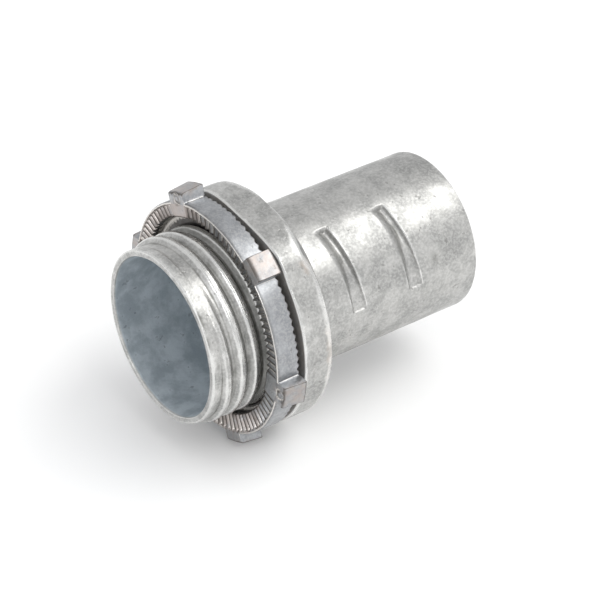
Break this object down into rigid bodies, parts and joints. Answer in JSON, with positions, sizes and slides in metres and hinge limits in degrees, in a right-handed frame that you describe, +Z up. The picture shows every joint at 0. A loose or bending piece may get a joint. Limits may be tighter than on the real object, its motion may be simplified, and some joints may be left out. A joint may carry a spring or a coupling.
{
  "type": "flexible conduit connector",
  "caption": "Cast zinc screw-in connector for flexible metal conduit, with a threaded nose, a round collar with two wrench flats and a lugged locknut that screws along the nose.",
  "frame": {"origin": "centre of the collar's seating face, on the axis of the bore", "axes": "+X along the axis from the nose to the conduit socket, -X out of the threaded nose, +Z up as it lies on its side"},
  "size_m": [0.0363, 0.03, 0.0288],
  "materials": {
    "body_zinc": "as-cast zinc, satin and slightly mottled",
    "locknut_zinc": "as-cast zinc, darker, with worn brownish serrations"
  },
  "bodies": {
    "connector": {"connector_body": "body_zinc"},
    "locknut_travel": {"locknut_core": "locknut_zinc"},
    "locknut": {"locknut": "locknut_zinc"}
  },
  "joints": [
    {"name": "locknut_advance", "type": "slide", "parent": "connector", "child": "locknut_travel", "axis": [-1, 0, 0], "range_m": [-0.0007, 0.0085]},
    {"name": "locknut_turn", "type": "hinge", "parent": "locknut_travel", "child": "locknut", "pos_m": [0, 0, 0], "axis": [-1, 0, 0], "range_deg": [-138, 1670]}
  ],
  "couplings": [
    {"joint": "locknut_advance", "follows": "locknut_turn", "m_per_rad": 0.00028871}
  ]
}
